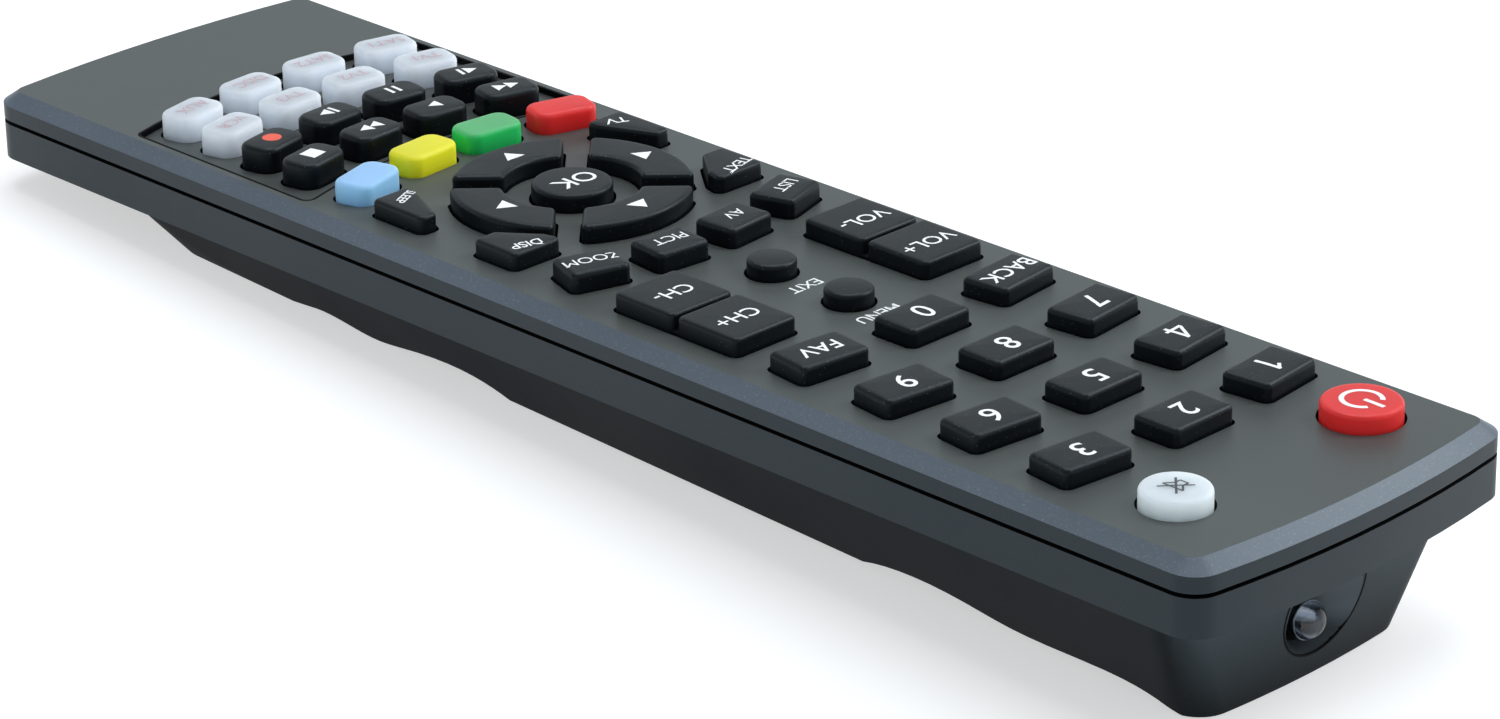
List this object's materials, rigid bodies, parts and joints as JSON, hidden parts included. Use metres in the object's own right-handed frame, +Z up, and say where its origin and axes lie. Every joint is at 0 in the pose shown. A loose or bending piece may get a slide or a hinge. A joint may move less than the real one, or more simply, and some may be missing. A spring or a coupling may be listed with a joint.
{
  "type": "universal remote control",
  "caption": "Hand-held universal remote control: dark grey casing with a deep keel underneath, silicone keys that press and rock, opening battery cover and a clear infrared diode.",
  "frame": {"origin": "centre of the plan outline, on the surface that the remote lies on", "axes": "+Z up; +Y along the body towards the infrared end; +X to the right when the key labels are read"},
  "size_m": [0.0554, 0.22, 0.027],
  "materials": {
    "casing_face": "satin",
    "casing_lower": "satin",
    "key_black": "matte silicone",
    "key_red": "matte silicone",
    "key_green": "matte silicone",
    "key_yellow": "matte silicone",
    "key_blue": "matte silicone",
    "key_white": "matte silicone",
    "key_translucent": "milky silicone",
    "mat_silicone": "matte",
    "board": "lacquered board",
    "clear_lens": "clear",
    "cell_jacket": "glossy sleeve",
    "contact_metal": "nickel plated",
    "screw_steel": "black oxide"
  },
  "bodies": {
    "casing": {"bottom_shell": "casing_lower", "top_shell": "casing_face", "keypad_mat": "mat_silicone", "circuit_board": "board", "infrared_diode": "clear_lens", "batteries": "cell_jacket", "battery_contacts": "contact_metal", "screws": "screw_steel"},
    "battery_cover": {"battery_cover": "casing_lower"},
    "power_key": {"power_key": "key_red"},
    "mute_key": {"mute_key": "key_white"},
    "digit_1_key": {"digit_1_key": "key_black"},
    "digit_2_key": {"digit_2_key": "key_black"},
    "digit_3_key": {"digit_3_key": "key_black"},
    "digit_4_key": {"digit_4_key": "key_black"},
    "digit_5_key": {"digit_5_key": "key_black"},
    "digit_6_key": {"digit_6_key": "key_black"},
    "digit_7_key": {"digit_7_key": "key_black"},
    "digit_8_key": {"digit_8_key": "key_black"},
    "digit_9_key": {"digit_9_key": "key_black"},
    "back_key": {"back_key": "key_black"},
    "digit_0_key": {"digit_0_key": "key_black"},
    "favourites_key": {"favourites_key": "key_black"},
    "menu_key": {"menu_key": "key_black"},
    "exit_key": {"exit_key": "key_black"},
    "list_key": {"list_key": "key_black"},
    "input_key": {"input_key": "key_black"},
    "picture_key": {"picture_key": "key_black"},
    "zoom_key": {"zoom_key": "key_black"},
    "text_key": {"text_key": "key_black"},
    "display_key": {"display_key": "key_black"},
    "source_key": {"source_key": "key_black"},
    "sleep_key": {"sleep_key": "key_black"},
    "up_key": {"up_key": "key_black"},
    "left_key": {"left_key": "key_black"},
    "down_key": {"down_key": "key_black"},
    "right_key": {"right_key": "key_black"},
    "ok_key": {"ok_key": "key_black"},
    "red_key": {"red_key": "key_red"},
    "green_key": {"green_key": "key_green"},
    "yellow_key": {"yellow_key": "key_yellow"},
    "blue_key": {"blue_key": "key_blue"},
    "rewind_key": {"rewind_key": "key_black"},
    "play_key": {"play_key": "key_black"},
    "forward_key": {"forward_key": "key_black"},
    "stop_key": {"stop_key": "key_black"},
    "step_back_key": {"step_back_key": "key_black"},
    "pause_key": {"pause_key": "key_black"},
    "step_forward_key": {"step_forward_key": "key_black"},
    "record_key": {"record_key": "key_black"},
    "device_1_key": {"device_1_key": "key_translucent"},
    "device_2_key": {"device_2_key": "key_translucent"},
    "device_3_key": {"device_3_key": "key_translucent"},
    "device_4_key": {"device_4_key": "key_translucent"},
    "device_5_key": {"device_5_key": "key_translucent"},
    "device_6_key": {"device_6_key": "key_translucent"},
    "device_7_key": {"device_7_key": "key_translucent"},
    "device_8_key": {"device_8_key": "key_translucent"},
    "volume_rocker": {"volume_rocker": "key_black"},
    "channel_rocker": {"channel_rocker": "key_black"}
  },
  "joints": [
    {"name": "power_press", "type": "slide", "parent": "casing", "child": "power_key", "axis": [0, 0.0556, -0.9985], "range_m": [0, 0.001], "stiffness_N_per_m": 300},
    {"name": "mute_press", "type": "slide", "parent": "casing", "child": "mute_key", "axis": [0, 0.0556, -0.9985], "range_m": [0, 0.001], "stiffness_N_per_m": 300},
    {"name": "digit_1_press", "type": "slide", "parent": "casing", "child": "digit_1_key", "axis": [0, 0.0556, -0.9985], "range_m": [0, 0.001], "stiffness_N_per_m": 300},
    {"name": "digit_2_press", "type": "slide", "parent": "casing", "child": "digit_2_key", "axis": [0, 0.0556, -0.9985], "range_m": [0, 0.001], "stiffness_N_per_m": 300},
    {"name": "digit_3_press", "type": "slide", "parent": "casing", "child": "digit_3_key", "axis": [0, 0.0556, -0.9985], "range_m": [0, 0.001], "stiffness_N_per_m": 300},
    {"name": "digit_4_press", "type": "slide", "parent": "casing", "child": "digit_4_key", "axis": [0, 0.0556, -0.9985], "range_m": [0, 0.001], "stiffness_N_per_m": 300},
    {"name": "digit_5_press", "type": "slide", "parent": "casing", "child": "digit_5_key", "axis": [0, 0.0556, -0.9985], "range_m": [0, 0.001], "stiffness_N_per_m": 300},
    {"name": "digit_6_press", "type": "slide", "parent": "casing", "child": "digit_6_key", "axis": [0, 0.0556, -0.9985], "range_m": [0, 0.001], "stiffness_N_per_m": 300},
    {"name": "digit_7_press", "type": "slide", "parent": "casing", "child": "digit_7_key", "axis": [0, 0.0556, -0.9985], "range_m": [0, 0.001], "stiffness_N_per_m": 300},
    {"name": "digit_8_press", "type": "slide", "parent": "casing", "child": "digit_8_key", "axis": [0, 0.0556, -0.9985], "range_m": [0, 0.001], "stiffness_N_per_m": 300},
    {"name": "digit_9_press", "type": "slide", "parent": "casing", "child": "digit_9_key", "axis": [0, 0.0556, -0.9985], "range_m": [0, 0.001], "stiffness_N_per_m": 300},
    {"name": "back_press", "type": "slide", "parent": "casing", "child": "back_key", "axis": [0, 0.0556, -0.9985], "range_m": [0, 0.001], "stiffness_N_per_m": 300},
    {"name": "digit_0_press", "type": "slide", "parent": "casing", "child": "digit_0_key", "axis": [0, 0.0556, -0.9985], "range_m": [0, 0.001], "stiffness_N_per_m": 300},
    {"name": "favourites_press", "type": "slide", "parent": "casing", "child": "favourites_key", "axis": [0, 0.0556, -0.9985], "range_m": [0, 0.001], "stiffness_N_per_m": 300},
    {"name": "menu_press", "type": "slide", "parent": "casing", "child": "menu_key", "axis": [0, 0.0556, -0.9985], "range_m": [0, 0.001], "stiffness_N_per_m": 300},
    {"name": "exit_press", "type": "slide", "parent": "casing", "child": "exit_key", "axis": [0, 0.0556, -0.9985], "range_m": [0, 0.001], "stiffness_N_per_m": 300},
    {"name": "list_press", "type": "slide", "parent": "casing", "child": "list_key", "axis": [0, 0.0556, -0.9985], "range_m": [0, 0.001], "stiffness_N_per_m": 300},
    {"name": "input_press", "type": "slide", "parent": "casing", "child": "input_key", "axis": [0, 0.0556, -0.9985], "range_m": [0, 0.001], "stiffness_N_per_m": 300},
    {"name": "picture_press", "type": "slide", "parent": "casing", "child": "picture_key", "axis": [0, 0.0556, -0.9985], "range_m": [0, 0.001], "stiffness_N_per_m": 300},
    {"name": "zoom_press", "type": "slide", "parent": "casing", "child": "zoom_key", "axis": [0, 0.0556, -0.9985], "range_m": [0, 0.001], "stiffness_N_per_m": 300},
    {"name": "text_press", "type": "slide", "parent": "casing", "child": "text_key", "axis": [0, 0.0556, -0.9985], "range_m": [0, 0.001], "stiffness_N_per_m": 300},
    {"name": "display_press", "type": "slide", "parent": "casing", "child": "display_key", "axis": [0, 0.0556, -0.9985], "range_m": [0, 0.001], "stiffness_N_per_m": 300},
    {"name": "source_press", "type": "slide", "parent": "casing", "child": "source_key", "axis": [0, 0.0556, -0.9985], "range_m": [0, 0.001], "stiffness_N_per_m": 300},
    {"name": "sleep_press", "type": "slide", "parent": "casing", "child": "sleep_key", "axis": [0, 0.0556, -0.9985], "range_m": [0, 0.001], "stiffness_N_per_m": 300},
    {"name": "up_press", "type": "slide", "parent": "casing", "child": "up_key", "axis": [0, 0.0556, -0.9985], "range_m": [0, 0.001], "stiffness_N_per_m": 300},
    {"name": "left_press", "type": "slide", "parent": "casing", "child": "left_key", "axis": [0, 0.0556, -0.9985], "range_m": [0, 0.001], "stiffness_N_per_m": 300},
    {"name": "down_press", "type": "slide", "parent": "casing", "child": "down_key", "axis": [0, 0.0556, -0.9985], "range_m": [0, 0.001], "stiffness_N_per_m": 300},
    {"name": "right_press", "type": "slide", "parent": "casing", "child": "right_key", "axis": [0, 0.0556, -0.9985], "range_m": [0, 0.001], "stiffness_N_per_m": 300},
    {"name": "ok_press", "type": "slide", "parent": "casing", "child": "ok_key", "axis": [0, 0.0556, -0.9985], "range_m": [0, 0.001], "stiffness_N_per_m": 300},
    {"name": "red_press", "type": "slide", "parent": "casing", "child": "red_key", "axis": [0, 0.0556, -0.9985], "range_m": [0, 0.001], "stiffness_N_per_m": 300},
    {"name": "green_press", "type": "slide", "parent": "casing", "child": "green_key", "axis": [0, 0.0556, -0.9985], "range_m": [0, 0.001], "stiffness_N_per_m": 300},
    {"name": "yellow_press", "type": "slide", "parent": "casing", "child": "yellow_key", "axis": [0, 0.0556, -0.9985], "range_m": [0, 0.001], "stiffness_N_per_m": 300},
    {"name": "blue_press", "type": "slide", "parent": "casing", "child": "blue_key", "axis": [0, 0.0556, -0.9985], "range_m": [0, 0.001], "stiffness_N_per_m": 300},
    {"name": "rewind_press", "type": "slide", "parent": "casing", "child": "rewind_key", "axis": [0, 0.0556, -0.9985], "range_m": [0, 0.001], "stiffness_N_per_m": 300},
    {"name": "play_press", "type": "slide", "parent": "casing", "child": "play_key", "axis": [0, 0.0556, -0.9985], "range_m": [0, 0.001], "stiffness_N_per_m": 300},
    {"name": "forward_press", "type": "slide", "parent": "casing", "child": "forward_key", "axis": [0, 0.0556, -0.9985], "range_m": [0, 0.001], "stiffness_N_per_m": 300},
    {"name": "stop_press", "type": "slide", "parent": "casing", "child": "stop_key", "axis": [0, 0.0556, -0.9985], "range_m": [0, 0.001], "stiffness_N_per_m": 300},
    {"name": "step_back_press", "type": "slide", "parent": "casing", "child": "step_back_key", "axis": [0, 0.0556, -0.9985], "range_m": [0, 0.001], "stiffness_N_per_m": 300},
    {"name": "pause_press", "type": "slide", "parent": "casing", "child": "pause_key", "axis": [0, 0.0556, -0.9985], "range_m": [0, 0.001], "stiffness_N_per_m": 300},
    {"name": "step_forward_press", "type": "slide", "parent": "casing", "child": "step_forward_key", "axis": [0, 0.0556, -0.9985], "range_m": [0, 0.001], "stiffness_N_per_m": 300},
    {"name": "record_press", "type": "slide", "parent": "casing", "child": "record_key", "axis": [0, 0.0556, -0.9985], "range_m": [0, 0.001], "stiffness_N_per_m": 300},
    {"name": "device_1_press", "type": "slide", "parent": "casing", "child": "device_1_key", "axis": [0, 0.0556, -0.9985], "range_m": [0, 0.001], "stiffness_N_per_m": 300},
    {"name": "device_2_press", "type": "slide", "parent": "casing", "child": "device_2_key", "axis": [0, 0.0556, -0.9985], "range_m": [0, 0.001], "stiffness_N_per_m": 300},
    {"name": "device_3_press", "type": "slide", "parent": "casing", "child": "device_3_key", "axis": [0, 0.0556, -0.9985], "range_m": [0, 0.001], "stiffness_N_per_m": 300},
    {"name": "device_4_press", "type": "slide", "parent": "casing", "child": "device_4_key", "axis": [0, 0.0556, -0.9985], "range_m": [0, 0.001], "stiffness_N_per_m": 300},
    {"name": "device_5_press", "type": "slide", "parent": "casing", "child": "device_5_key", "axis": [0, 0.0556, -0.9985], "range_m": [0, 0.001], "stiffness_N_per_m": 300},
    {"name": "device_6_press", "type": "slide", "parent": "casing", "child": "device_6_key", "axis": [0, 0.0556, -0.9985], "range_m": [0, 0.001], "stiffness_N_per_m": 300},
    {"name": "device_7_press", "type": "slide", "parent": "casing", "child": "device_7_key", "axis": [0, 0.0556, -0.9985], "range_m": [0, 0.001], "stiffness_N_per_m": 300},
    {"name": "device_8_press", "type": "slide", "parent": "casing", "child": "device_8_key", "axis": [0, 0.0556, -0.9985], "range_m": [0, 0.001], "stiffness_N_per_m": 300},
    {"name": "volume_rock", "type": "hinge", "parent": "casing", "child": "volume_rocker", "pos_m": [-0.0164, 0.0194, 0.01839], "axis": [1, 0, 0], "range_deg": [-3, 3], "stiffness_Nm_per_rad": 0.05},
    {"name": "channel_rock", "type": "hinge", "parent": "casing", "child": "channel_rocker", "pos_m": [0.0164, 0.0194, 0.01839], "axis": [1, 0, 0], "range_deg": [-3, 3], "stiffness_Nm_per_rad": 0.05},
    {"name": "battery_cover_hinge", "type": "hinge", "parent": "casing", "child": "battery_cover", "pos_m": [0, -0.00803, 0.00068], "axis": [-1, 0, 0], "range_deg": [0, 50]}
  ]
}
